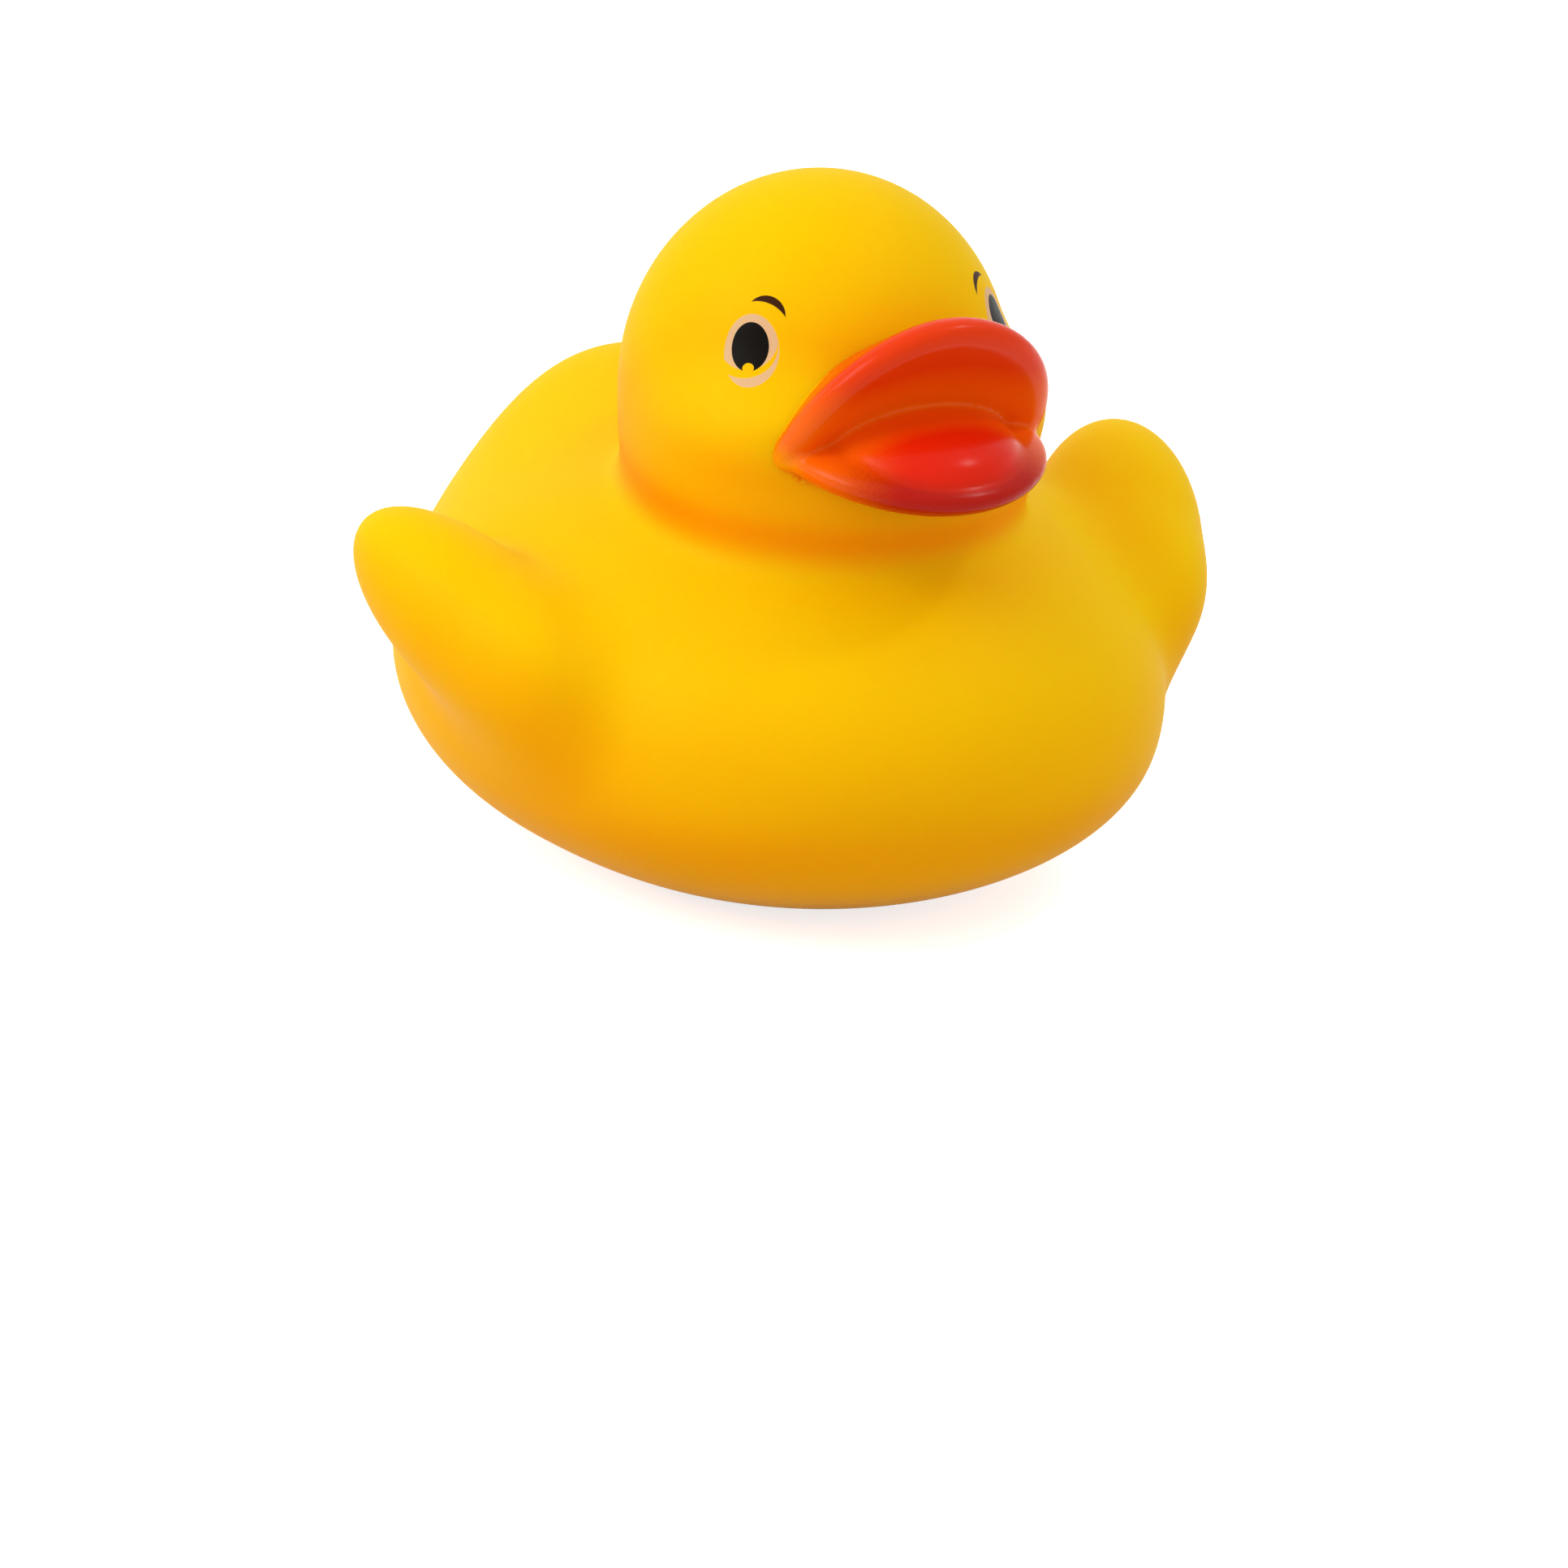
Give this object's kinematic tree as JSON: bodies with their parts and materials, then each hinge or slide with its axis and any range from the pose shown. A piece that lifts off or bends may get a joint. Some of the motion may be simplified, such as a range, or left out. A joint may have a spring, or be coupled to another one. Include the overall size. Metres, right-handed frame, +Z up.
{
  "type": "rubber duck",
  "caption": "Hollow moulded bath duck with upswept wings, a broad raised tail, a round head and an open flared bill, and a squeaker pressed into its flat base.",
  "frame": {"origin": "on the ground under the middle of the duck's bounding box", "axes": "+Z up; the duck faces -Y, so its tail points to +Y; its right wing is at -X and its left wing at +X"},
  "size_m": [0.0644, 0.0609, 0.0506],
  "materials": {
    "soft_vinyl": "satin soft vinyl, with a sprayed orange-red bill and printed eyes and brows",
    "squeaker_plastic": "plain moulded"
  },
  "bodies": {
    "root": {"duck_shell": "soft_vinyl", "squeaker": "squeaker_plastic"}
  },
  "joints": []
}
